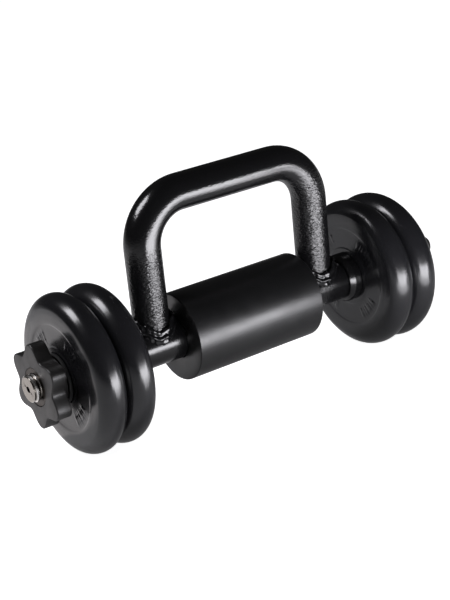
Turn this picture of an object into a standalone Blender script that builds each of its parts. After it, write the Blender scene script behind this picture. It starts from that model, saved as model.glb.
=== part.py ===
"""Plate-loaded kettlebell: a threaded bar through a centre weight, a bent tube handle
welded on top, two filled vinyl plates a side and a spin-lock star nut at each end.

Metres, +Z up, X along the bar. The origin is on the floor under the middle of the bar,
with the plates standing on the floor at z = 0.
"""

import math

import bmesh
import bpy
from mathutils import Matrix

# Driving dimensions, in metres. Places along the bar are distances from its middle.
PLATE_RADIUS = 0.0750
PLATE_THICKNESS = 0.0292
PLATE_BORE_RADIUS = 0.0136
PLATE_WALL = 0.0022
HUB_FLAT_RADIUS = 0.0290
RECESS_RADIUS = 0.0505
RECESS_DEPTH = 0.0010
FILL_HOLE_RADIUS = 0.0060
FILL_HOLE_HEIGHT = 0.0400
BAR_RADIUS = 0.0128
BAR_HALF_LENGTH = 0.2280
SLEEVE_RADIUS = 0.0200
COLLAR_RADIUS = 0.0245
COLLAR_LENGTH = 0.0132
COLLAR_TAPER_LENGTH = 0.0060
COLLAR_TAPER_DEPTH = 0.0026
SHOULDER_X = 0.1372
WEIGHT_RADIUS = 0.0419
WEIGHT_LENGTH = 0.1440
HANDLE_TUBE_RADIUS = 0.0171
HANDLE_WALL = 0.0030
HANDLE_LEG_X = 0.0961
HANDLE_HEIGHT = 0.1368
HANDLE_BEND_RADIUS = 0.0439
WELD_RADIUS = 0.0046
NUT_TIP_RADIUS = 0.0402
NUT_VALLEY_RADIUS = 0.0302
NUT_LOBES = 6
NUT_TIP_ANGLE = math.radians(-1.5)
NUT_FRONT_X = 0.2212
NUT_LOBE_THICKNESS = 0.0146
NUT_EDGE = 0.0012
NUT_HUB_RADIUS = 0.0220
INSERT_RADIUS = 0.0175
WASHER_RADIUS = 0.0240
WASHER_THICKNESS = 0.0035
THREAD_PITCH = 0.0050
THREAD_DEPTH = 0.0016
THREAD_LENGTH = 0.0620
END_CHAMFER = 0.0012
CENTRE_DRILL_RADIUS = 0.0028
CENTRE_DRILL_DEPTH = 0.0026

# Clearances, and what follows from the driving dimensions.
GAP = 0.0003
THREAD_GAP = 0.0004
SHAFT_BORE_RADIUS = BAR_RADIUS + THREAD_GAP
AXIS_Z = PLATE_RADIUS
RIM_RADIUS = PLATE_THICKNESS / 2
INNER_PLATE_X = SHOULDER_X + GAP + PLATE_THICKNESS / 2
OUTER_PLATE_X = INNER_PLATE_X + PLATE_THICKNESS + GAP
WASHER_X = OUTER_PLATE_X + PLATE_THICKNESS / 2 + GAP
NUT_BACK_X = WASHER_X + WASHER_THICKNESS + GAP
LOBE_BACK_X = NUT_FRONT_X - NUT_LOBE_THICKNESS
SLEEVE_HALF_LENGTH = SHOULDER_X - COLLAR_LENGTH - GAP
CHAMFER = 0.0008
SIDES = (("left", -1), ("right", 1))

# How finely round pieces are divided.
AROUND_PLATE = 24
AROUND_RING = 24
AROUND_NUT = 36
AROUND_THREAD = 16
AROUND_WELD = 20
AROUND_PLUG = 12
RIM_STEPS = 6
CAVITY_STEPS = 4
BEND_STEPS = 8


def new_collection(name):
    collection = bpy.data.collections.new(name)
    bpy.context.scene.collection.children.link(collection)
    return collection


def material(name, colour, roughness, metallic=0.0):
    made = bpy.data.materials.new(name)
    made.use_nodes = True
    shader = made.node_tree.nodes["Principled BSDF"]
    shader.inputs["Base Color"].default_value = (*colour, 1.0)
    shader.inputs["Roughness"].default_value = roughness
    shader.inputs["Metallic"].default_value = metallic
    made.diffuse_color = (*colour, 1.0)
    return made


for old in list(bpy.data.objects):
    bpy.data.objects.remove(old, do_unlink=True)

PARTS = new_collection("plate_loaded_kettlebell")
CUTTERS = new_collection("cutters")

# Everything is placed from the bar's own axis, which the plates and the nuts turn on.
BAR_AXIS = bpy.data.objects.new("bar_axis", None)
BAR_AXIS.location = (0.0, 0.0, AXIS_Z)
PARTS.objects.link(BAR_AXIS)


def place(mesh, name, collection, x=0.0):
    """A new object holding the mesh, at x along the bar's axis."""
    made = bpy.data.objects.new(name, mesh)
    made.parent = BAR_AXIS
    made.location = (x, 0.0, 0.0)
    collection.objects.link(made)
    return made


def finished_mesh(work, name, finish, sharp_degrees=35):
    """The bmesh as a mesh, welded and facing outwards, with its hard edges kept."""
    bmesh.ops.remove_doubles(work, verts=work.verts, dist=1e-7)
    bmesh.ops.recalc_face_normals(work, faces=work.faces)
    mesh = bpy.data.meshes.new(name)
    work.to_mesh(mesh)
    work.free()
    mesh.shade_smooth()
    mesh.set_sharp_from_angle(angle=math.radians(sharp_degrees))
    if finish:
        mesh.materials.append(finish)
    return mesh


def turned_mesh(name, profile, finish, around=AROUND_RING):
    """A ring turned about the X axis from a closed (x, radius) profile."""
    work = bmesh.new()
    corners = [work.verts.new((x, 0.0, radius)) for x, radius in profile]
    edges = [work.edges.new(pair) for pair in zip(corners, corners[1:] + corners[:1])]
    bmesh.ops.spin(
        work,
        geom=corners + edges,
        cent=(0.0, 0.0, 0.0),
        axis=(1.0, 0.0, 0.0),
        angle=math.tau,
        steps=around,
        use_merge=True,
    )
    return finished_mesh(work, name, finish)


def lofted_mesh(name, section, around, finish, ring=True):
    """A solid whose (x, radius) section changes as it goes once round the X axis.

    section(angle) gives the points at one angle, the same number at each. A ring's last
    point joins its first. Any other section starts and ends on the axis.
    """
    work = bmesh.new()
    rows = []
    for step in range(around + 1):
        angle = math.tau * step / around
        across, up = -math.sin(angle), math.cos(angle)
        rows.append([work.verts.new((x, r * across, r * up)) for x, r in section(angle)])
    for row, following in zip(rows, rows[1:]):
        count = len(row)
        for index in range(count if ring else count - 1):
            after = (index + 1) % count
            work.faces.new((row[index], row[after], following[after], following[index]))
    return finished_mesh(work, name, finish)


def bevelled_ends(start, stop, inner, outer, chamfer=CHAMFER):
    """The section of a plain ring whose outer edges are chamfered."""
    return [
        (start, inner),
        (start, outer - chamfer),
        (start + chamfer, outer),
        (stop - chamfer, outer),
        (stop, outer - chamfer),
        (stop, inner),
    ]


def on_side(section, side):
    """An outward-going section turned to face the given end of the bar."""
    return [(side * x, radius) for x, radius in section]


def subtract(target, cutter):
    modifier = target.modifiers.new("cut", "BOOLEAN")
    modifier.operation = "DIFFERENCE"
    modifier.solver = "EXACT"
    modifier.object = cutter
    cutter.hide_render = True
    cutter.display_type = "WIRE"


def baked_mesh(target, name, sharp_degrees=35):
    """The target's mesh with its modifiers applied. The target itself is removed."""
    bpy.context.view_layer.update()
    graph = bpy.context.evaluated_depsgraph_get()
    mesh = bpy.data.meshes.new_from_object(target.evaluated_get(graph))
    mesh.name = name
    work = bmesh.new()
    work.from_mesh(mesh)
    bmesh.ops.remove_doubles(work, verts=work.verts, dist=1e-6)
    bmesh.ops.dissolve_degenerate(work, edges=work.edges, dist=1e-6)
    work.to_mesh(mesh)
    work.free()
    mesh.shade_smooth()
    mesh.set_sharp_from_angle(angle=math.radians(sharp_degrees))
    bpy.data.objects.remove(target, do_unlink=True)
    return mesh


CHROME = material("bright_plated_steel", (0.72, 0.72, 0.73), 0.18, 1.0)
BLACK_PAINT = material("satin_black_paint", (0.020, 0.020, 0.021), 0.42)
HAMMER_COAT = material("hammered_black_coat", (0.022, 0.022, 0.023), 0.35)
WELD_PAINT = material("painted_weld", (0.018, 0.018, 0.019), 0.25)
VINYL = material("black_vinyl", (0.026, 0.026, 0.028), 0.30)
CEMENT = material("cement_fill", (0.38, 0.37, 0.35), 0.90)
PLUG_PLASTIC = material("plug_plastic", (0.030, 0.030, 0.032), 0.45)
NUT_PLASTIC = material("nut_plastic", (0.050, 0.050, 0.053), 0.38)
INSERT_STEEL = material("insert_steel", (0.55, 0.54, 0.52), 0.35, 1.0)
WASHER_RUBBER = material("washer_rubber", (0.015, 0.015, 0.015), 0.70)


# The threads. Both ends of the bar carry a right-hand trapezoidal thread.
THREAD_CORNERS = (0.00, 0.30, 0.50, 0.80)


def thread_radius(x, angle, clearance):
    """Radius of the thread's surface at a place along and around the bar."""
    phase = (x / THREAD_PITCH - angle / math.tau) % 1.0
    crest_end, root_start, root_end = THREAD_CORNERS[1:]
    if phase < crest_end:
        depth = 0.0
    elif phase < root_start:
        depth = (phase - crest_end) / (root_start - crest_end)
    elif phase < root_end:
        depth = 1.0
    else:
        depth = (1.0 - phase) / (1.0 - root_end)
    return BAR_RADIUS + clearance - depth * THREAD_DEPTH


def thread_section(start, stop, angle, clearance=0.0):
    """The thread between two planes as an (x, radius) line at one angle.

    Its corners follow the helix, and those past a plane are held on it.
    """
    first = math.floor(start / THREAD_PITCH) - 2
    last = math.ceil(stop / THREAD_PITCH) + 2
    line = []
    for turn in range(first, last):
        for corner in THREAD_CORNERS:
            x = (turn + corner + angle / math.tau) * THREAD_PITCH
            x = min(max(x, start), stop)
            line.append((x, thread_radius(x, angle, clearance)))
    return line


def bar_section(angle):
    """Half the bar's outline at one angle, from one centre drill to the other."""
    end = BAR_HALF_LENGTH
    shank = end - THREAD_LENGTH
    run_out = shank - THREAD_PITCH / 4
    tip = BAR_RADIUS - END_CHAMFER
    left = thread_section(-end, -shank, angle)
    right = thread_section(shank, end, angle)
    threads = left + [(-run_out, BAR_RADIUS), (run_out, BAR_RADIUS)] + right
    threads = [(x, min(radius, tip + end - abs(x))) for x, radius in threads]
    drill = [(end - CENTRE_DRILL_DEPTH, 0.0), (end, CENTRE_DRILL_RADIUS)]
    return [(-x, radius) for x, radius in drill] + threads + drill[::-1]


# The fixed frame: bar, sleeve, stop collars, centre weight, handle and welds.
place(lofted_mesh("threaded_bar", bar_section, AROUND_THREAD, CHROME, ring=False), "threaded_bar", PARTS)

SLEEVE_SECTION = bevelled_ends(-SLEEVE_HALF_LENGTH, SLEEVE_HALF_LENGTH, SHAFT_BORE_RADIUS, SLEEVE_RADIUS)
place(turned_mesh("bar_sleeve", SLEEVE_SECTION, BLACK_PAINT), "bar_sleeve", PARTS)

WEIGHT_SECTION = bevelled_ends(-WEIGHT_LENGTH / 2, WEIGHT_LENGTH / 2, SLEEVE_RADIUS + GAP, WEIGHT_RADIUS)
place(turned_mesh("centre_weight", WEIGHT_SECTION, BLACK_PAINT), "centre_weight", PARTS)

# A collar tapers on the side that faces the handle, and is square where a plate stops.
COLLAR_START = SHOULDER_X - COLLAR_LENGTH
COLLAR_SECTION = [
    (COLLAR_START, SHAFT_BORE_RADIUS),
    (COLLAR_START, COLLAR_RADIUS - COLLAR_TAPER_DEPTH),
    (COLLAR_START + COLLAR_TAPER_LENGTH, COLLAR_RADIUS),
    (SHOULDER_X - CHAMFER, COLLAR_RADIUS),
    (SHOULDER_X, COLLAR_RADIUS - CHAMFER),
    (SHOULDER_X, SHAFT_BORE_RADIUS),
]
for side_name, side in SIDES:
    collar = turned_mesh(side_name + "_stop_collar", on_side(COLLAR_SECTION, side), BLACK_PAINT)
    place(collar, side_name + "_stop_collar", PARTS)


def tube_object(name, points, radius, closed, resolution):
    """A round bar along the points. An open one has no end caps."""
    curve = bpy.data.curves.new(name, "CURVE")
    curve.dimensions = "3D"
    curve.bevel_depth = radius
    curve.bevel_resolution = resolution
    curve.use_fill_caps = False
    spline = curve.splines.new("POLY")
    spline.points.add(len(points) - 1)
    for point, place_on_path in zip(spline.points, points):
        point.co = (*place_on_path, 1.0)
    spline.use_cyclic_u = closed
    return place(curve, name, CUTTERS)


def handle_path():
    """The handle's centre line: up one leg, over two quarter bends, down the other leg."""
    half = [(-HANDLE_LEG_X, 0.0, 0.0)]
    turn_x = HANDLE_LEG_X - HANDLE_BEND_RADIUS
    turn_z = HANDLE_HEIGHT - HANDLE_BEND_RADIUS
    for step in range(BEND_STEPS + 1):
        angle = math.pi / 2 * step / BEND_STEPS
        along = -turn_x - HANDLE_BEND_RADIUS * math.cos(angle)
        half.append((along, 0.0, turn_z + HANDLE_BEND_RADIUS * math.sin(angle)))
    return half + [(-x, y, z) for x, y, z in half[::-1]]


def weld_path(leg_x):
    """Where the foot of a leg meets the sleeve, as a saddle-shaped loop."""
    points = []
    for step in range(AROUND_WELD):
        angle = math.tau * step / AROUND_WELD
        reach = HANDLE_TUBE_RADIUS + WELD_RADIUS * 0.35
        x = leg_x + reach * math.cos(angle)
        y = reach * math.sin(angle)
        points.append((x, y, math.sqrt(SLEEVE_RADIUS**2 - y**2) + WELD_RADIUS * 0.35))
    return points


def cutting_cylinder(name, radius, length, upright, x=0.0):
    """A cutter along the bar, or standing upright from its axis."""
    work = bmesh.new()
    bmesh.ops.create_cone(
        work, cap_ends=True, segments=48, radius1=radius, radius2=radius, depth=length
    )
    if upright:
        bmesh.ops.translate(work, verts=work.verts, vec=(0.0, 0.0, length / 2))
    else:
        bmesh.ops.rotate(work, verts=work.verts, matrix=Matrix.Rotation(math.pi / 2, 3, "Y"))
    return place(finished_mesh(work, name, None), name, CUTTERS, x)


SLEEVE_CUTTER = cutting_cylinder("sleeve_cutter", SLEEVE_RADIUS + GAP, 0.300, upright=False)

# The handle is an open tube given its wall, with both feet cut to sit over the sleeve.
handle_skin = tube_object("handle_skin", handle_path(), HANDLE_TUBE_RADIUS, False, 5)
handle = place(baked_mesh(handle_skin, "handle_tube"), "handle_tube", PARTS)
handle.data.materials.clear()
handle.data.materials.append(HAMMER_COAT)
wall = handle.modifiers.new("wall", "SOLIDIFY")
wall.thickness = HANDLE_WALL
wall.offset = -1.0
wall.use_even_offset = True
subtract(handle, SLEEVE_CUTTER)

for side_name, side in SIDES:
    leg_cutter = cutting_cylinder(
        side_name + "_leg_cutter", HANDLE_TUBE_RADIUS + GAP, 0.060, upright=True, x=side * HANDLE_LEG_X
    )
    bead_skin = tube_object("bead_skin", weld_path(side * HANDLE_LEG_X), WELD_RADIUS, True, 2)
    bead = place(baked_mesh(bead_skin, side_name + "_handle_weld"), side_name + "_handle_weld", PARTS)
    bead.data.materials.clear()
    bead.data.materials.append(WELD_PAINT)
    subtract(bead, leg_cutter)
    subtract(bead, SLEEVE_CUTTER)


# The plates: a blow-moulded vinyl shell, its cement fill, and the plug that closes it.
def half_rim(radius, steps):
    """The round of the rim, from one face over the widest point to the other face."""
    rim_centre = PLATE_RADIUS - RIM_RADIUS
    turns = [math.pi * (0.5 - step / steps) for step in range(steps + 1)]
    return [(radius * math.sin(turn), rim_centre + radius * math.cos(turn)) for turn in turns]


def plate_section():
    """A plate's outside about its own middle, with a shallow ring let into each face."""
    face = PLATE_THICKNESS / 2
    recess = face - RECESS_DEPTH
    front = [
        (face, PLATE_BORE_RADIUS),
        (face, HUB_FLAT_RADIUS),
        (recess, HUB_FLAT_RADIUS + RECESS_DEPTH),
        (recess, RECESS_RADIUS - RECESS_DEPTH),
        (face, RECESS_RADIUS),
    ]
    back = [(-x, radius) for x, radius in front[::-1]]
    return front + half_rim(RIM_RADIUS, RIM_STEPS) + back


def cavity_section(shrink):
    """The space inside the shell, drawn in by shrink from the plate's outside."""
    face = PLATE_THICKNESS / 2 - RECESS_DEPTH - shrink
    bore = PLATE_BORE_RADIUS + shrink
    return [(face, bore)] + half_rim(face, CAVITY_STEPS) + [(-face, bore)]


shell = place(turned_mesh("shell_blank", plate_section(), VINYL, AROUND_PLATE), "shell_blank", PARTS)
cavity_mesh = turned_mesh("cavity_cutter", cavity_section(PLATE_WALL), None, AROUND_PLATE)
cavity_cutter = place(cavity_mesh, "cavity_cutter", CUTTERS)
fill_hole_cutter = cutting_cylinder("fill_hole_cutter", FILL_HOLE_RADIUS, 0.010, upright=False)
fill_hole_cutter.location = (PLATE_THICKNESS / 2, 0.0, FILL_HOLE_HEIGHT)
subtract(shell, cavity_cutter)
subtract(shell, fill_hole_cutter)
SHELL_MESH = baked_mesh(shell, "plate_shell")
CORE_MESH = turned_mesh("plate_core", cavity_section(PLATE_WALL + GAP), CEMENT, AROUND_PLATE)

PLUG_FACE = PLATE_THICKNESS / 2 - RECESS_DEPTH
PLUG_SECTION = [
    (PLUG_FACE - PLATE_WALL, 0.0),
    (PLUG_FACE - PLATE_WALL, FILL_HOLE_RADIUS - GAP),
    (PLUG_FACE + GAP, FILL_HOLE_RADIUS - GAP),
    (PLUG_FACE + GAP, FILL_HOLE_RADIUS + 0.0012),
    (PLUG_FACE + RECESS_DEPTH - GAP, FILL_HOLE_RADIUS + 0.0008),
    (PLUG_FACE + RECESS_DEPTH - GAP, 0.0),
]
PLUG_MESH = lofted_mesh("plate_plug", lambda angle: PLUG_SECTION, AROUND_PLUG, PLUG_PLASTIC, ring=False)

for side_name, side in SIDES:
    for place_name, x in (("inner", INNER_PLATE_X), ("outer", OUTER_PLATE_X)):
        plate_name = side_name + "_" + place_name + "_plate"
        place(SHELL_MESH, plate_name + "_shell", PARTS, side * x)
        place(CORE_MESH, plate_name + "_fill", PARTS, side * x)
        plug = place(PLUG_MESH, plate_name + "_plug", PARTS, side * x)
        plug.location.z = FILL_HOLE_HEIGHT


# The star nuts: a moulded body with six lobes, its threaded steel insert and its washer.
def nut_outline(angle):
    """Radius of the lobed edge at one angle."""
    middle = (NUT_TIP_RADIUS + NUT_VALLEY_RADIUS) / 2
    swing = (NUT_TIP_RADIUS - NUT_VALLEY_RADIUS) / 2
    return middle + swing * math.cos(NUT_LOBES * (angle - NUT_TIP_ANGLE))


def nut_body_section(angle, side):
    """The nut body at one angle: the hub behind, the lobes in front, the insert's bore."""
    edge = nut_outline(angle)
    bore = INSERT_RADIUS + GAP
    return on_side(
        [
            (NUT_BACK_X, bore),
            (NUT_BACK_X, NUT_HUB_RADIUS),
            (LOBE_BACK_X, NUT_HUB_RADIUS),
            (LOBE_BACK_X, edge - NUT_EDGE),
            (LOBE_BACK_X + NUT_EDGE, edge),
            (NUT_FRONT_X - NUT_EDGE, edge),
            (NUT_FRONT_X, edge - NUT_EDGE),
            (NUT_FRONT_X, bore),
        ],
        side,
    )


def insert_section(angle, side):
    """The steel insert at one angle: plain outside, threaded to run on the bar inside."""
    start, stop = sorted((side * NUT_BACK_X, side * (NUT_FRONT_X - GAP)))
    return [(stop, INSERT_RADIUS), (start, INSERT_RADIUS)] + thread_section(start, stop, angle, THREAD_GAP)


WASHER_SECTION = bevelled_ends(
    WASHER_X, WASHER_X + WASHER_THICKNESS, SHAFT_BORE_RADIUS + GAP, WASHER_RADIUS
)
for side_name, side in SIDES:
    body = lofted_mesh(
        side_name + "_star_nut_body", lambda angle: nut_body_section(angle, side), AROUND_NUT, NUT_PLASTIC
    )
    insert = lofted_mesh(
        side_name + "_nut_insert", lambda angle: insert_section(angle, side), AROUND_THREAD, INSERT_STEEL
    )
    washer = turned_mesh(side_name + "_nut_washer", on_side(WASHER_SECTION, side), WASHER_RUBBER)
    for mesh in (body, insert, washer):
        place(mesh, mesh.name, PARTS)
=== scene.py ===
"""Plate-loaded kettlebell: a screw-ended bar through a round weight, a bent tube handle
welded on top, and two vinyl plates a side held by star nuts.

Metres, +Z up, X along the bar, whose middle is above the origin.
"""

import math

import bmesh
import bpy
from mathutils import Matrix, Vector, noise


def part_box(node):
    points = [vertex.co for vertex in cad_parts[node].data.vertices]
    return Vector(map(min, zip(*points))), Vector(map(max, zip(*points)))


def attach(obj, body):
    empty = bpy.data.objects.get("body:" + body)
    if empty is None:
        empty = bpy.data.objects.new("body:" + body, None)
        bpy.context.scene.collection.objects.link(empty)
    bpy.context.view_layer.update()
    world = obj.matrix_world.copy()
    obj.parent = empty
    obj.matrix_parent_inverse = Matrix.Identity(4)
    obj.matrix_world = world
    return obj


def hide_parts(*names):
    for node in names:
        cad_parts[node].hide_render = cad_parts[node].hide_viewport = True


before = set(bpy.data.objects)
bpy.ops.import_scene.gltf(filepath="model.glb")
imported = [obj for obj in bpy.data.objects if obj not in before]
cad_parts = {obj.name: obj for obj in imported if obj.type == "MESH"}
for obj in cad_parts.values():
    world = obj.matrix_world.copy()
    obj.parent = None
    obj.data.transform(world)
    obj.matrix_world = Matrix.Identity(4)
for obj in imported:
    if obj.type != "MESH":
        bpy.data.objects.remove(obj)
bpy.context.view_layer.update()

# --- Screw bar -----------------------------------------------------------------------
# A mild steel bar, 25.6 mm across, with a coarse 5 mm thread rolled on both ends and
# centre-drilled ends left from the lathe. It is zinc plated bright all over, and runs
# through the sleeve, the plates and the nuts.

AXIS_Z = (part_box("threaded_bar")[0][2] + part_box("threaded_bar")[1][2]) / 2
BAR_RADIUS = 0.0128
BAR_HALF_LENGTH = 0.2280
THREAD_PITCH = 0.0050
THREAD_DEPTH = 0.0016
THREAD_START = 0.1660
THREAD_FACETS = 72
END_CHAMFER = 0.0012
CENTRE_DRILL_RADIUS = 0.0028
CENTRE_DRILL_DEPTH = 0.0026
CENTRE_DRILL_FOOT = 0.0004
DRILL_FACETS = 48
THREAD_RUN_OUT = THREAD_PITCH / 4
# Corners nearer than this are one corner, and edges nearer than this are on a plane.
MERGE_DISTANCE = 1e-6
ON_PLANE = 1e-5
# One turn of the rolled thread: share of the pitch along, share of the depth down.
THREAD_FORM = (
    (0.00, 0.10),
    (0.03, 0.00),
    (0.27, 0.00),
    (0.30, 0.10),
    (0.48, 0.92),
    (0.52, 1.00),
    (0.78, 1.00),
    (0.82, 0.92),
)


def linear(hex_colour):
    """An sRGB hex colour as the linear RGBA that the shaders take."""
    shares = [int(hex_colour[place : place + 2], 16) / 255 for place in (1, 3, 5)]
    bent = [s / 12.92 if s <= 0.04045 else ((s + 0.055) / 1.055) ** 2.4 for s in shares]
    return (*bent, 1.0)


def new_finish(name, colour, roughness, metallic=0.0):
    """A material with one Principled shader set to the finish's plain values."""
    made = bpy.data.materials.new(name)
    made.use_nodes = True
    shader = made.node_tree.nodes["Principled BSDF"]
    shader.inputs["Base Color"].default_value = linear(colour)
    shader.inputs["Roughness"].default_value = roughness
    shader.inputs["Metallic"].default_value = metallic
    return made, made.node_tree, shader


def add_node(tree, kind, inputs=(), **settings):
    """One node, its settings made and its sockets linked or set from (socket, value)."""
    made = tree.nodes.new(kind)
    for setting, value in settings.items():
        setattr(made, setting, value)
    for socket, value in dict(inputs).items():
        if isinstance(value, bpy.types.NodeSocket):
            tree.links.new(value, made.inputs[socket])
        else:
            made.inputs[socket].default_value = value
    return made


def noise_over(tree, per_metre, detail, roughness=0.5, place=None):
    """Noise of about so many grains to the metre, fixed to the piece. Its value, 0 to 1."""
    if place is None:
        place = add_node(tree, "ShaderNodeTexCoord").outputs["Object"]
    made = add_node(
        tree,
        "ShaderNodeTexNoise",
        {"Vector": place, "Scale": per_metre, "Detail": detail, "Roughness": roughness},
    )
    return made.outputs["Fac"]


def spread(tree, value, given, wanted, **settings):
    """The value carried from the given span of numbers over to the wanted one."""
    spans = {"From Min": given[0], "From Max": given[1], "To Min": wanted[0], "To Max": wanted[1]}
    made = add_node(tree, "ShaderNodeMapRange", {"Value": value, **spans}, **settings)
    return made.outputs["Result"]


def blended(tree, share, first, second):
    """One colour turning into another as the share goes from 0 to 1."""
    made = add_node(tree, "ShaderNodeMix", {0: share, 6: first, 7: second}, data_type="RGBA")
    return made.outputs[2]


def embossed(tree, shader, height, strength, depth, over=None):
    """The height pressed into the finish, over an earlier relief if one is given."""
    inputs = {"Height": height, "Strength": strength, "Distance": depth}
    if over is not None:
        inputs["Normal"] = over
    normal = add_node(tree, "ShaderNodeBump", inputs).outputs["Normal"]
    tree.links.new(normal, shader.inputs["Normal"])
    return normal


def piece_from(work, name, finish, sharp_degrees=32):
    """The bmesh as a finished piece, merged, facing outwards and moved up to the bar."""
    bmesh.ops.remove_doubles(work, verts=work.verts, dist=MERGE_DISTANCE)
    bmesh.ops.recalc_face_normals(work, faces=work.faces)
    bmesh.ops.translate(work, verts=work.verts, vec=(0.0, 0.0, AXIS_Z))
    mesh = bpy.data.meshes.new(name)
    work.to_mesh(mesh)
    work.free()
    mesh.shade_smooth()
    mesh.set_sharp_from_angle(angle=math.radians(sharp_degrees))
    mesh.materials.append(finish)
    piece = bpy.data.objects.new(name, mesh)
    bpy.context.scene.collection.objects.link(piece)
    return piece


def everything(work):
    """Every corner, edge and face, as the bmesh operators take them."""
    return work.verts[:] + work.edges[:] + work.faces[:]


def edges_at(work, x):
    """The open edges that lie on the plane across the bar at x."""
    found = []
    for edge in work.edges:
        if edge.is_boundary and all(abs(corner.co.x - x) < ON_PLANE for corner in edge.verts):
            found.append(edge)
    return found


def ring_at(work, x, radius, facets):
    """The edges of a new circle across the bar at x."""
    turned = Matrix.Translation((x, 0.0, 0.0)) @ Matrix.Rotation(math.pi / 2, 4, "Y")
    made = bmesh.ops.create_circle(work, segments=facets, radius=radius, matrix=turned)
    return list({edge for corner in made["verts"] for edge in corner.link_edges})


def threaded_wall(start, stop, clearance):
    """The thread's surface between two planes, as an open tube in a new bmesh."""
    work = bmesh.new()
    line = []
    first = math.floor(start / THREAD_PITCH) - 2
    last = math.ceil(stop / THREAD_PITCH) + 2
    for turn in range(first, last):
        for along, down in THREAD_FORM:
            radius = BAR_RADIUS + clearance - down * THREAD_DEPTH
            line.append(work.verts.new(((turn + along) * THREAD_PITCH, 0.0, radius)))
    edges = [work.edges.new(pair) for pair in zip(line, line[1:])]
    bmesh.ops.spin(
        work,
        geom=line + edges,
        cent=(0.0, 0.0, 0.0),
        axis=(1.0, 0.0, 0.0),
        dvec=(THREAD_PITCH / THREAD_FACETS, 0.0, 0.0),
        angle=math.tau,
        steps=THREAD_FACETS,
    )
    bmesh.ops.remove_doubles(work, verts=work.verts, dist=MERGE_DISTANCE)
    for place, outward in ((start, -1.0), (stop, 1.0)):
        bmesh.ops.bisect_plane(
            work,
            geom=everything(work),
            dist=MERGE_DISTANCE,
            plane_co=(place, 0.0, 0.0),
            plane_no=(outward, 0.0, 0.0),
            clear_outer=True,
        )
    return work


# Plated steel is a mirror dulled by the rolled grain; the thread roots are painted darker, as
# painted shade in the grooves.
plating, tree, shader = new_finish("zinc_plated_steel", "#c9c6c2", 0.24, 1.0)
coords = add_node(tree, "ShaderNodeTexCoord")
centred = add_node(
    tree,
    "ShaderNodeMapping",
    {"Vector": coords.outputs["Object"], "Location": (0.0, 0.0, -AXIS_Z), "Scale": (0.0, 1.0, 1.0)},
)
from_axis = add_node(tree, "ShaderNodeVectorMath", {0: centred.outputs[0]}, operation="LENGTH")
from_axis = from_axis.outputs["Value"]
# Painted shade: the colour darkens from the crests down into the thread roots.
root_span = (BAR_RADIUS - THREAD_DEPTH, BAR_RADIUS - 0.25 * THREAD_DEPTH)
out_of_root = spread(tree, from_axis, root_span, (0.0, 1.0), interpolation_type="SMOOTHSTEP")
smears = noise_over(tree, 420.0, 4.0, 0.6)
bright = blended(tree, smears, linear("#cfcac4"), linear("#ecebe9"))
root_shade_painted = blended(tree, out_of_root, linear("#8a857e"), bright)
tree.links.new(root_shade_painted, shader.inputs["Base Color"])
tree.links.new(spread(tree, smears, (0.0, 1.0), (0.17, 0.34)), shader.inputs["Roughness"])
# Lathe rings on the ends are about 0.1 mm apart; drawn at 0.6 mm so that they show.
LATHE_RING_PITCH = 0.0006
rings = add_node(
    tree, "ShaderNodeMath", {0: from_axis, 1: math.tau / LATHE_RING_PITCH}, operation="MULTIPLY"
)
ridges = add_node(tree, "ShaderNodeMath", {0: rings.outputs[0]}, operation="SINE")
embossed(tree, shader, ridges.outputs[0], 0.12, 0.0001)

work = threaded_wall(THREAD_START, BAR_HALF_LENGTH, 0.0)
for share in (0.33, 0.66, 1.0):
    bmesh.ops.bisect_plane(
        work,
        geom=everything(work),
        dist=MERGE_DISTANCE,
        plane_co=(BAR_HALF_LENGTH - share * END_CHAMFER, 0.0, 0.0),
        plane_no=(1.0, 0.0, 0.0),
    )
for corner in work.verts:
    radius = math.hypot(corner.co.y, corner.co.z)
    limit = BAR_RADIUS - END_CHAMFER + BAR_HALF_LENGTH - corner.co.x
    if radius > limit:
        corner.co.y *= limit / radius
        corner.co.z *= limit / radius
drill_mouth = ring_at(work, BAR_HALF_LENGTH, CENTRE_DRILL_RADIUS, DRILL_FACETS)
bmesh.ops.bridge_loops(work, edges=edges_at(work, BAR_HALF_LENGTH) + drill_mouth)
foot_x = BAR_HALF_LENGTH - CENTRE_DRILL_DEPTH
drill_foot = ring_at(work, foot_x, CENTRE_DRILL_FOOT, DRILL_FACETS)
bmesh.ops.bridge_loops(work, edges=drill_mouth + drill_foot)
bmesh.ops.contextual_create(work, geom=drill_foot)
shank_start = ring_at(work, THREAD_START - THREAD_RUN_OUT, BAR_RADIUS, THREAD_FACETS)
bmesh.ops.bridge_loops(work, edges=edges_at(work, THREAD_START) + shank_start)
# The other end is the same end turned half round about the upright, which keeps the
# thread right-handed; the plain shank joins the two.
copied = bmesh.ops.duplicate(work, geom=everything(work))["geom"]
bmesh.ops.rotate(
    work,
    verts=[part for part in copied if isinstance(part, bmesh.types.BMVert)],
    cent=(0.0, 0.0, 0.0),
    matrix=Matrix.Rotation(math.pi, 3, "Z"),
)
shank_edges = []
for side in (-1, 1):
    shank_edges += edges_at(work, side * (THREAD_START - THREAD_RUN_OUT))
bmesh.ops.bridge_loops(work, edges=shank_edges)
screw_bar = piece_from(work, "screw_bar", plating)
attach(screw_bar, "root")
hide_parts("threaded_bar")

# --- Sleeve and stop rings -----------------------------------------------------------
# A steel tube slid over the middle of the bar carries the weight and the handle. A
# turned steel ring is pressed on at each end of it, and the plates stop against it.

SLEEVE_RADIUS = 0.0200
SLEEVE_HALF_LENGTH = 0.1237
SHAFT_BORE_RADIUS = 0.0132
STOP_RADIUS = 0.0245
STOP_START = 0.1240
STOP_END = 0.1372
STOP_TAPER_LENGTH = 0.0060
STOP_TAPER_DEPTH = 0.0026
STOP_ROUND = 0.0008
STOP_TAPER_CURVE = 1.5
STOP_TAPER_STEPS = 8
STOP_NOSE = 0.0004
SLEEVE_ROUND = 0.0008
SIDES = (("left", -1), ("right", 1))


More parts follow.
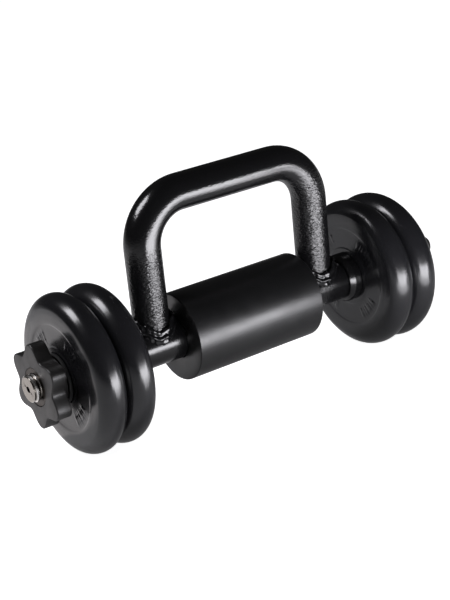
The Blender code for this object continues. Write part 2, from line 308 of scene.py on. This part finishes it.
def turned_ring(profile, facets=128):
    """A closed (x, radius) outline turned once round the bar, in a new bmesh."""
    work = bmesh.new()
    corners = [work.verts.new((x, 0.0, radius)) for x, radius in profile]
    edges = [work.edges.new(pair) for pair in zip(corners, corners[1:] + corners[:1])]
    bmesh.ops.spin(
        work,
        geom=corners + edges,
        cent=(0.0, 0.0, 0.0),
        axis=(1.0, 0.0, 0.0),
        angle=math.tau,
        steps=facets,
        use_merge=True,
    )
    return work


def arc(x, radius, size, first_turn, last_turn, steps=6):
    """Points of an outline round one of its corners, as turns from pointing along +X."""
    points = []
    for step in range(steps + 1):
        angle = math.tau * (first_turn + (last_turn - first_turn) * step / steps)
        points.append((x + size * math.cos(angle), radius + size * math.sin(angle)))
    return points


def rounded_ring(start, stop, inner, outer, outer_round, inner_round=0.0004):
    """The outline of a plain ring with rounded edges."""
    return (
        arc(stop - outer_round, outer - outer_round, outer_round, 0.0, 0.25)
        + arc(start + outer_round, outer - outer_round, outer_round, 0.25, 0.5)
        + arc(start + inner_round, inner + inner_round, inner_round, 0.5, 0.75, 2)
        + arc(stop - inner_round, inner + inner_round, inner_round, 0.75, 1.0, 2)
    )


# The sleeve and the rings were brushed: a thick, glossy coat with runs about 3 mm across.
thick_enamel, tree, shader = new_finish("thick_gloss_enamel", "#0c0c0d", 0.19)
embossed(tree, shader, noise_over(tree, 330.0, 3.0, 0.6), 0.22, 0.0005)

sleeve_outline = rounded_ring(
    -SLEEVE_HALF_LENGTH, SLEEVE_HALF_LENGTH, SHAFT_BORE_RADIUS, SLEEVE_RADIUS, SLEEVE_ROUND
)
sleeve = piece_from(turned_ring(sleeve_outline), "sleeve_tube", thick_enamel)
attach(sleeve, "root")
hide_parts("bar_sleeve")

# A stop ring tapers towards the handle, in a gentle curve, and is square at the plate.
stop_outline = arc(STOP_END - STOP_ROUND, STOP_RADIUS - STOP_ROUND, STOP_ROUND, 0.0, 0.25)
for step in range(STOP_TAPER_STEPS + 1):
    share = step / STOP_TAPER_STEPS
    drop = STOP_TAPER_DEPTH * share**STOP_TAPER_CURVE
    stop_outline.append((STOP_START + STOP_TAPER_LENGTH * (1.0 - share), STOP_RADIUS - drop))
stop_outline += [
    (STOP_START, STOP_RADIUS - STOP_TAPER_DEPTH - STOP_NOSE),
    (STOP_START, SHAFT_BORE_RADIUS),
    (STOP_END, SHAFT_BORE_RADIUS),
]
for side_name, side in SIDES:
    work = turned_ring([(side * x, radius) for x, radius in stop_outline])
    stop_ring = piece_from(work, side_name + "_stop_ring", thick_enamel)
    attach(stop_ring, "root")
    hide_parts(side_name + "_stop_collar")

# --- Round weight --------------------------------------------------------------------
# A 144 mm length of 84 mm round steel bar, bored to fit the sleeve and welded to it.
# Its ends are faced square with the edges just broken, under satin black enamel.

WEIGHT_RADIUS = 0.0419
WEIGHT_HALF_LENGTH = 0.0720
WEIGHT_ROUND = 0.0009
WEIGHT_FACETS = 192
# The gap left round a piece that is fitted to another one.
FIT_GAP = 0.0003

# Sprayed enamel flows out nearly smooth, with an orange peel 1 to 2 mm across, and dulls
# in patches about 17 mm across.
enamel, tree, shader = new_finish("satin_black_enamel", "#0d0d0e", 0.34)
haze = noise_over(tree, 60.0, 5.0, 0.65)
tree.links.new(spread(tree, haze, (0.3, 0.7), (0.29, 0.39)), shader.inputs["Roughness"])
embossed(tree, shader, noise_over(tree, 650.0, 2.0), 0.10, 0.0004)

weight_outline = rounded_ring(
    -WEIGHT_HALF_LENGTH, WEIGHT_HALF_LENGTH, SLEEVE_RADIUS + FIT_GAP, WEIGHT_RADIUS, WEIGHT_ROUND
)
weight = piece_from(turned_ring(weight_outline, WEIGHT_FACETS), "round_weight", enamel)
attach(weight, "root")
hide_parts("centre_weight")

# --- Handle --------------------------------------------------------------------------
# One 34 mm steel tube with a 3 mm wall, bent cold through two quarter turns, its feet
# coped to sit on the sleeve. The legs are coated in hammer-finish enamel, and the grip
# across the top is worn and polished smooth.

TUBE_RADIUS = 0.0171
TUBE_WALL = 0.0030
TUBE_FACETS = 96
LEG_X = 0.0961
GRIP_HEIGHT = 0.1368
BEND_RADIUS = 0.0439
BEND_STEPS = 28
# The heights up the leg, from the middle of the bar, where the coped foot ends and below
# which the tube's end is cut to the sleeve.
COPE_TOP = 0.0240
COPE_CUT = 0.0010
# The grain is worn down to this share over the grip. It is worn as far below the top as
# WORN_DOWN, and whole again by WHOLE_DOWN. The line between leans with the left leg lower.
WORN_GRAIN = 0.15
WORN_DOWN = 0.020
WHOLE_DOWN = 0.042
WORN_LEAN = 0.15

# Hammer enamel dries into a grain about 1.7 mm apart down the leg and 3.3 mm round it.
hammer, tree, shader = new_finish("hammer_finish_enamel", "#0c0c0d", 0.17)
place = add_node(tree, "ShaderNodeTexCoord").outputs["Object"]
stretched = add_node(tree, "ShaderNodeMapping", {"Vector": place, "Scale": (1.0, 1.0, 2.0)})
dimples = noise_over(tree, 300.0, 2.0, place=stretched.outputs[0])
leaning = add_node(
    tree, "ShaderNodeVectorMath", {0: place, 1: (-WORN_LEAN, 0.0, 1.0)}, operation="DOT_PRODUCT"
)
grip_z = AXIS_Z + GRIP_HEIGHT
on_legs = spread(
    tree,
    leaning.outputs["Value"],
    (grip_z - WORN_DOWN, grip_z - WHOLE_DOWN),
    (WORN_GRAIN, 1.0),
    interpolation_type="SMOOTHSTEP",
)
relief = add_node(tree, "ShaderNodeMath", {0: dimples, 1: on_legs}, operation="MULTIPLY")
embossed(tree, shader, relief.outputs[0], 1.0, 0.0009)


def pushed_on(work, front, vec):
    """The open front of a tube extruded along vec. Returns its new front."""
    extruded = bmesh.ops.extrude_edge_only(work, edges=front)["geom"]
    corners = [part for part in extruded if isinstance(part, bmesh.types.BMVert)]
    bmesh.ops.translate(work, verts=corners, vec=vec)
    return [part for part in extruded if isinstance(part, bmesh.types.BMEdge) and part.is_boundary]


def bent_on(work, front, centre):
    """The open front of a tube bent a quarter turn about centre. Returns its new front."""
    last = bmesh.ops.spin(
        work,
        geom=front,
        cent=centre,
        axis=(0.0, 1.0, 0.0),
        angle=math.pi / 2,
        steps=BEND_STEPS,
    )["geom_last"]
    return [part for part in last if isinstance(part, bmesh.types.BMEdge) and part.is_boundary]


bend_x = LEG_X - BEND_RADIUS
bend_z = GRIP_HEIGHT - BEND_RADIUS
work = bmesh.new()
for radius in (TUBE_RADIUS, TUBE_RADIUS - TUBE_WALL):
    made = bmesh.ops.create_circle(work, segments=TUBE_FACETS, radius=radius)
    bmesh.ops.translate(work, verts=made["verts"], vec=(-LEG_X, 0.0, 0.0))
    front = list({edge for corner in made["verts"] for edge in corner.link_edges})
    front = pushed_on(work, front, (0.0, 0.0, COPE_TOP))
    front = pushed_on(work, front, (0.0, 0.0, bend_z - COPE_TOP))
    front = bent_on(work, front, (-bend_x, 0.0, bend_z))
    front = pushed_on(work, front, (2 * bend_x, 0.0, 0.0))
    front = bent_on(work, front, (bend_x, 0.0, bend_z))
    front = pushed_on(work, front, (0.0, 0.0, COPE_TOP - bend_z))
    pushed_on(work, front, (0.0, 0.0, -COPE_TOP))
for corner in work.verts:
    if corner.co.z < COPE_CUT:
        corner.co.z = math.sqrt((SLEEVE_RADIUS + FIT_GAP) ** 2 - corner.co.y**2)
for side in (-1, 1):
    foot = [edge for edge in work.edges if edge.is_boundary and side * edge.verts[0].co.x > 0]
    bmesh.ops.bridge_loops(work, edges=foot)
handle = piece_from(work, "bent_handle", hammer, sharp_degrees=60)
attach(handle, "root")
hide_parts("handle_tube")

# --- Welds ---------------------------------------------------------------------------
# A hand-run fillet weld joins each foot of the handle to the sleeve. It is a row of
# overlapping ripples, uneven in width, under a thick glossy coat of the same enamel.

WELD_WIDE = 0.0047
WELD_TALL = 0.0066
WELD_LIFT = 0.0030
# How far out from the tube the middle of the bead runs.
WELD_STANDOFF = 0.0006
# Shares of the bead's size: the passes along it, the ripples across it and the lumps.
WELD_PASSES = 5
WELD_PASS_SHARE = 0.24
WELD_RIPPLES = 22
WELD_RIPPLE_SHARE = 0.05
WELD_LUMP_SHARE = 0.22
WELD_WANDER = 1.6
BEAD_FACETS = 40
FACETS_PER_RIPPLE = 7

# The gloss coat over a weld is faintly pitted, about 3 mm across.
weld_coat, tree, shader = new_finish("enamelled_weld", "#0e0e0f", 0.15)
embossed(tree, shader, noise_over(tree, 320.0, 1.0), 0.15, 0.0004)

for side_name, side in SIDES:
    work = bmesh.new()
    made = bmesh.ops.create_circle(work, segments=BEAD_FACETS, radius=1.0)
    bmesh.ops.rotate(
        work,
        verts=made["verts"],
        cent=(0.0, 0.0, 0.0),
        matrix=Matrix.Rotation(math.pi / 2, 3, "X"),
    )
    bmesh.ops.scale(work, verts=made["verts"], vec=(WELD_WIDE, 1.0, WELD_TALL))
    reach = TUBE_RADIUS + WELD_STANDOFF
    bmesh.ops.translate(work, verts=made["verts"], vec=(reach, 0.0, 0.0))
    bmesh.ops.spin(
        work,
        geom=everything(work),
        cent=(0.0, 0.0, 0.0),
        axis=(0.0, 0.0, 1.0),
        angle=math.tau,
        steps=WELD_RIPPLES * FACETS_PER_RIPPLE,
        use_merge=True,
    )
    for corner in work.verts:
        around = math.atan2(corner.co.y, corner.co.x)
        out = Vector((math.cos(around), math.sin(around), 0.0))
        spine = out * reach
        off = corner.co - spine
        turn = math.atan2(off.z, off.dot(out))
        drift = Vector((4.0 * out.x + 7.0 * side, 4.0 * out.y, 0.0))
        along = WELD_WANDER * noise.noise(drift) + 0.7 * math.sin(9 * around)
        beads = WELD_PASS_SHARE * math.cos(WELD_PASSES * turn + along)
        ripple = WELD_RIPPLE_SHARE * abs(math.sin(around * WELD_RIPPLES / 2 + 0.6 * turn))
        lump_place = Vector((6.0 * out.x, 6.0 * out.y + 3.0 * side, 1.4 * math.sin(turn)))
        lumps = WELD_LUMP_SHARE * noise.noise(lump_place)
        saddle = math.sqrt(SLEEVE_RADIUS**2 - spine.y**2) + WELD_LIFT
        off *= 1.0 + beads - ripple + lumps
        corner.co = spine + off + Vector((side * LEG_X, 0.0, saddle))
    weld = piece_from(work, side_name + "_foot_weld", weld_coat, sharp_degrees=180)
    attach(weld, "root")
    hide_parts(side_name + "_handle_weld")

# --- Plates --------------------------------------------------------------------------
# Each plate is a blow-moulded vinyl shell, 150 mm across, filled with cement through a
# hole that a pressed-in cap closes. The mould's halves met in a fine line round the rim,
# and each face has a shallow ring let into it between the hub and the rim.

PLATE_RADIUS = 0.0750
PLATE_HALF_THICKNESS = 0.0146
PLATE_BORE = 0.0136
HUB_FLAT = 0.0290
RING_EDGE = 0.0505
RING_DEPTH = 0.0006
SEAM_RIDGE = 0.00012
SEAM_HALF_WIDTH = 0.0005
PLATE_FACETS = 240
# The rim's round starts and stops this many turns from pointing along the bar.
RIM_TURNS = (0.035, 0.238)
RIM_STEPS = 20

# Filled vinyl comes off the mould satin. It is wavy over the cement, 18 mm across, with a
# grain of 1.1 mm, and scuffed in patches of about 26 mm.
vinyl, tree, shader = new_finish("blow_moulded_vinyl", "#151517", 0.22)
scuffs = noise_over(tree, 38.0, 6.0, 0.7)
tree.links.new(spread(tree, scuffs, (0.35, 0.7), (0.19, 0.26)), shader.inputs["Roughness"])
wavy = embossed(tree, shader, noise_over(tree, 55.0, 1.0), 0.25, 0.0006)
embossed(tree, shader, noise_over(tree, 900.0, 2.0), 0.06, 0.0002, wavy)

# Cast cement shows its sand, in grains of about 1.4 mm.
cement, tree, shader = new_finish("cast_cement", "#8f8c86", 0.92)
sand = noise_over(tree, 700.0, 6.0, 0.7)
sandy = blended(tree, sand, linear("#77736c"), linear("#a5a29b"))
tree.links.new(sandy, shader.inputs["Base Color"])
embossed(tree, shader, sand, 0.6, 0.0006)

# Four groups of plain raised ribs stand in the ring of each face, 7.5 mm long.
RIB_INNER = 0.0365
RIB_OUTER = 0.0440
RIB_HEIGHT = 0.0005
RIB_GROUPS = 4
# Where each rib of a group starts and how long it is, in facets of 1.5 degrees.
RIB_PATTERN = ((0, 3), (5, 1), (8, 4), (14, 2), (18, 1), (21, 3))
RIB_GROUP_FACETS = 24

face_x = PLATE_HALF_THICKNESS
ring_x = PLATE_HALF_THICKNESS - RING_DEPTH
face_half = [
    (face_x - 0.0006, PLATE_BORE),
    (face_x - 0.0002, PLATE_BORE + 0.0002),
    (face_x, PLATE_BORE + 0.0007),
    (face_x, HUB_FLAT - 0.0009),
    (face_x - 0.0001, HUB_FLAT - 0.0003),
    (ring_x + 0.0001, HUB_FLAT + 0.0008),
    (ring_x, HUB_FLAT + 0.0014),
    (ring_x, RIB_INNER - 0.0006),
    (ring_x, RIB_INNER),
    (ring_x, RIB_OUTER),
    (ring_x, RIB_OUTER + 0.0006),
    (ring_x, RING_EDGE - 0.0016),
    (ring_x + 0.0001, RING_EDGE - 0.0010),
    (face_x - 0.0001, RING_EDGE + 0.0001),
    (face_x, RING_EDGE + 0.0007),
    (face_x - 0.00008, RING_EDGE + 0.0040),
    (face_x - 0.00030, RING_EDGE + 0.0070),
]
rim_centre = PLATE_RADIUS - PLATE_HALF_THICKNESS
rim_half = arc(0.0, rim_centre, PLATE_HALF_THICKNESS, *RIM_TURNS, RIM_STEPS)
seam = [
    (SEAM_HALF_WIDTH, PLATE_RADIUS - SEAM_RIDGE),
    (0.0, PLATE_RADIUS),
    (-SEAM_HALF_WIDTH, PLATE_RADIUS - SEAM_RIDGE),
]
outside_half = face_half + rim_half
outside = outside_half + seam + [(-x, radius) for x, radius in outside_half[::-1]]
rib_columns = set()
for group in range(RIB_GROUPS):
    group_start = round((group + 0.5) * PLATE_FACETS / RIB_GROUPS - RIB_GROUP_FACETS / 2)
    for rib_start, rib_length in RIB_PATTERN:
        first = group_start + rib_start
        rib_columns |= {(first + column) % PLATE_FACETS for column in range(rib_length)}

for side_name, side in SIDES:
    for place_name in ("inner", "outer"):
        plate_name = side_name + "_" + place_name + "_plate"
        low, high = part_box(plate_name + "_shell")
        work = turned_ring(outside, PLATE_FACETS)
        for corner in work.verts:
            radius = math.hypot(corner.co.y, corner.co.z)
            column = round(math.atan2(-corner.co.y, corner.co.z) / math.tau * PLATE_FACETS)
            on_rib = RIB_INNER - ON_PLANE < radius < RIB_OUTER + ON_PLANE
            if on_rib and column % PLATE_FACETS in rib_columns:
                corner.co.x += math.copysign(RIB_HEIGHT, corner.co.x)
        bmesh.ops.translate(work, verts=work.verts, vec=((low[0] + high[0]) / 2, 0.0, 0.0))
        shell = piece_from(work, plate_name + "_vinyl", vinyl)
        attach(shell, plate_name)
        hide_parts(plate_name + "_shell")
        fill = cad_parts[plate_name + "_fill"]
        for slot in fill.material_slots:
            slot.material = cement

# --- Plate caps ----------------------------------------------------------------------
# The filling hole in each plate is closed with a moulded polythene cap pressed in from
# outside. It has a thin round head with a dimple and a vent hole in the middle.

CAP_RADIUS = 0.0072
CAP_HEIGHT = 0.0400
CAP_STEM = 0.0057
CAP_HEAD = 0.0004
CAP_DIMPLE = 0.0030
CAP_VENT = 0.0008
CAP_FACETS = 48

# Moulded polythene has a dull grain of about 0.8 mm.
cap_plastic, tree, shader = new_finish("moulded_polythene", "#1b1b1d", 0.42)
embossed(tree, shader, noise_over(tree, 1200.0, 2.0), 0.15, 0.0002)

for side_name, side in SIDES:
    for place_name in ("inner", "outer"):
        plate_name = side_name + "_" + place_name + "_plate"
        low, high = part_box(plate_name + "_plug")
        back, face = low[0], high[0]
        outline = [
            (back, CAP_VENT),
            (back, CAP_STEM),
            (face - CAP_HEAD, CAP_STEM),
            (face - CAP_HEAD, CAP_RADIUS),
            (face - 0.0002, CAP_RADIUS),
            (face, CAP_RADIUS - 0.0004),
            (face, CAP_DIMPLE),
            (face - CAP_HEAD, CAP_DIMPLE - 0.0004),
            (face - CAP_HEAD, CAP_VENT),
        ]
        work = turned_ring(outline, CAP_FACETS)
        bmesh.ops.translate(work, verts=work.verts, vec=(0.0, 0.0, CAP_HEIGHT))
        cap = piece_from(work, plate_name + "_cap", cap_plastic)
        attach(cap, plate_name)
        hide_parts(plate_name + "_plug")

# --- Star nuts -----------------------------------------------------------------------
# A six-lobed hand nut in glass-filled nylon, moulded round a threaded steel insert. It
# screws along the bar and presses the plates against the stop ring through a washer.

NUT_TIP = 0.0402
NUT_VALLEY = 0.0302
NUT_LOBES = 6
NUT_TIP_ANGLE = math.radians(-1.5)
NUT_BACK_X = 0.2003
LOBE_BACK_X = 0.2066
NUT_FRONT_X = 0.2212
NUT_HUB = 0.0220
NUT_ROUND = 0.0014
NUT_EDGE = 0.0005
NUT_FACETS = 216
# The lobes are shaped out of everything that is further than this beyond the hub.
LOBE_MARGIN = 0.0010
INSERT_RADIUS = 0.0175
INSERT_SUNK = 0.0004
THREAD_CLEARANCE = 0.0004
WASHER_RADIUS = 0.0240
WASHER_ROUND = 0.0010
WASHER_FACETS = 96

# Glass-filled nylon has a spark-eroded grain of about 0.7 mm and dulls with handling, in
# patches of about 11 mm.
nylon, tree, shader = new_finish("glass_filled_nylon", "#100f0e", 0.42)
handled = noise_over(tree, 90.0, 4.0)
tree.links.new(spread(tree, handled, (0.3, 0.7), (0.40, 0.50)), shader.inputs["Roughness"])
embossed(tree, shader, noise_over(tree, 1400.0, 2.0), 0.14, 0.0002)

# The insert is turned free-cutting steel, left bare and browned by oil in 3 mm blots.
insert_steel, tree, shader = new_finish("oiled_turned_steel", "#3a332d", 0.38, 1.0)
stain = noise_over(tree, 350.0, 4.0)
browned = blended(tree, stain, linear("#1c1815"), linear("#443c36"))
tree.links.new(browned, shader.inputs["Base Color"])
embossed(tree, shader, stain, 0.2, 0.0003)

# Moulded rubber is matt, with a grain of about 1.1 mm.
rubber, tree, shader = new_finish("moulded_rubber", "#121212", 0.62)
embossed(tree, shader, noise_over(tree, 900.0, 3.0), 0.3, 0.0003)

nut_outline = (
    arc(NUT_FRONT_X - NUT_ROUND, NUT_TIP - NUT_ROUND, NUT_ROUND, 0.0, 0.25)
    + arc(LOBE_BACK_X + NUT_ROUND, NUT_TIP - NUT_ROUND, NUT_ROUND, 0.25, 0.5)
    + [(LOBE_BACK_X, NUT_HUB), (NUT_BACK_X + NUT_EDGE, NUT_HUB), (NUT_BACK_X, NUT_HUB - NUT_EDGE)]
    + [(NUT_BACK_X, INSERT_RADIUS + FIT_GAP), (NUT_FRONT_X - NUT_EDGE, INSERT_RADIUS + FIT_GAP)]
    + [(NUT_FRONT_X, INSERT_RADIUS + FIT_GAP + NUT_EDGE), (NUT_FRONT_X, NUT_HUB)]
)
for side_name, side in SIDES:
    work = turned_ring([(side * x, radius) for x, radius in nut_outline], NUT_FACETS)
    for corner in work.verts:
        radius = math.hypot(corner.co.y, corner.co.z)
        if radius > NUT_HUB + LOBE_MARGIN:
            angle = math.atan2(-corner.co.y, corner.co.z)
            lobe = (1.0 - math.cos(NUT_LOBES * (angle - NUT_TIP_ANGLE))) / 2
            share = 1.0 - (NUT_TIP - NUT_VALLEY) * lobe / radius
            corner.co.y *= share
            corner.co.z *= share
    body = piece_from(work, side_name + "_star_nut", nylon)
    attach(body, side_name + "_star_nut")
    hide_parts(side_name + "_star_nut_body")

    insert_ends = (NUT_BACK_X, NUT_FRONT_X - INSERT_SUNK)
    work = threaded_wall(*insert_ends, THREAD_CLEARANCE)
    outer_rings = []
    for x in insert_ends:
        rim = ring_at(work, x, INSERT_RADIUS, THREAD_FACETS)
        outer_rings += rim
        mouth = [edge for edge in edges_at(work, x) if edge not in rim]
        bmesh.ops.bridge_loops(work, edges=mouth + rim)
    bmesh.ops.bridge_loops(work, edges=outer_rings)
    if side < 0:
        # Turned half round like the bar's left end, so that the two threads stay in step.
        half_turn = Matrix.Rotation(math.pi, 3, "Z")
        bmesh.ops.rotate(work, verts=work.verts, cent=(0.0, 0.0, 0.0), matrix=half_turn)
    insert = piece_from(work, side_name + "_nut_thread", insert_steel)
    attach(insert, side_name + "_star_nut")
    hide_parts(side_name + "_nut_insert")

    low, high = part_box(side_name + "_nut_washer")
    bore = SHAFT_BORE_RADIUS + FIT_GAP
    outline = rounded_ring(low[0], high[0], bore, WASHER_RADIUS, WASHER_ROUND)
    work = turned_ring(outline, WASHER_FACETS)
    washer = piece_from(work, side_name + "_rubber_washer", rubber)
    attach(washer, side_name + "_washer")
    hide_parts(side_name + "_nut_washer")

# --- Studio --------------------------------------------------------------------------
# A white floor that glows, so that it reads pale under the black object, two soft boxes,
# three cards just above the floor and a dim room. The camera looks down from the left.

FLOOR_HALF_SIZE = 12.0
# The floor's glow in plain view, in the painted contact shadow near the object, and in reflections.
FLOOR_SEEN = 1.0
FLOOR_CONTACT = 0.88
FLOOR_UNSEEN = 0.15
CONTACT_REACH = 0.035
ROOM_SEEN = (1.0, 1.0, 1.0, 1.0)
ROOM_UNSEEN = (0.03, 0.03, 0.03, 1.0)

floor_mesh = bpy.data.meshes.new("studio_floor")
work = bmesh.new()
bmesh.ops.create_grid(work, x_segments=1, y_segments=1, size=FLOOR_HALF_SIZE)
work.to_mesh(floor_mesh)
work.free()
floor = bpy.data.objects.new("studio_floor", floor_mesh)
bpy.context.scene.collection.objects.link(floor)
# White card, plain and matt. It has no gloss, so that the object isn't mirrored in it.
floor_finish, tree, shader = new_finish("white_floor", "#e8e8e8", 0.9)
shader.inputs["Specular IOR Level"].default_value = 0.0
shader.inputs["Emission Color"].default_value = linear("#ffffff")
seen = add_node(tree, "ShaderNodeLightPath")
# Painted shadow: occlusion dims the floor's glow in plain view near the object.
painted_contact_shadow = add_node(
    tree, "ShaderNodeAmbientOcclusion", {"Distance": CONTACT_REACH}, samples=8
).outputs["AO"]
shaded = spread(tree, painted_contact_shadow, (0.0, 1.0), (FLOOR_CONTACT, FLOOR_SEEN))
glow = add_node(
    tree, "ShaderNodeMix", {0: seen.outputs["Is Camera Ray"], 2: FLOOR_UNSEEN, 3: shaded}
)
tree.links.new(glow.outputs[0], shader.inputs["Emission Strength"])
floor_mesh.materials.append(floor_finish)

room = bpy.data.worlds.new("dim_room")
room.use_nodes = True
bpy.context.scene.world = room
tree = room.node_tree
backdrop = tree.nodes["Background"]
seen = add_node(tree, "ShaderNodeLightPath")
tone = blended(tree, seen.outputs["Is Camera Ray"], ROOM_UNSEEN, ROOM_SEEN)
tree.links.new(tone, backdrop.inputs["Color"])


def soft_box(name, place, aim, size, radiance, tint):
    """A rectangular lamp of width and height size that faces aim, unseen by the camera."""
    data = bpy.data.lights.new(name, "AREA")
    data.color = linear(tint)[:3]
    data.shape = "RECTANGLE"
    data.size, data.size_y = size
    data.energy = radiance * data.size * data.size_y * math.pi
    lamp = bpy.data.objects.new(name, data)
    towards = Vector(aim) - Vector(place)
    lamp.location = place
    lamp.rotation_euler = towards.to_track_quat("-Z", "Y").to_euler()
    lamp.visible_camera = False
    bpy.context.scene.collection.objects.link(lamp)


# The cards face up and stand for the bright floor that the legs and the plates reflect.
COOL = "#fbfaff"
WARM = "#fff6f5"
MIDDLE = (0.0, 0.0, AXIS_Z)
soft_box("front_low_box", (0.155, -0.560, 0.060), (0.155, 0.0, 0.060), (0.70, 0.118), 16.0, COOL)
soft_box("far_floor_card", (0.12, -0.447, 0.003), (0.12, -0.447, 1.0), (0.46, 0.195), 12.5, COOL)
soft_box("near_floor_card", (0.095, -0.285, 0.003), (0.095, -0.285, 1.0), (0.42, 0.13), 6.0, COOL)
soft_box("top_back_box", (-0.69, 0.36, 1.00), MIDDLE, (0.44, 0.54), 14.0, COOL)
soft_box("left_floor_card", (-0.34, 0.20, 0.002), (-0.34, 0.20, 1.0), (0.36, 0.34), 0.42, WARM)

camera_data = bpy.data.cameras.new("camera")
camera_data.lens = 84.2
camera_data.sensor_width = 36.0
camera = bpy.data.objects.new("camera", camera_data)
camera.location = (-0.70606, -1.03193, 0.56769)
camera.rotation_euler = [math.radians(degrees) for degrees in (69.0502, 5.4041, -35.9645)]
bpy.context.scene.collection.objects.link(camera)
bpy.context.scene.camera = camera
bpy.context.scene.view_settings.view_transform = "Standard"
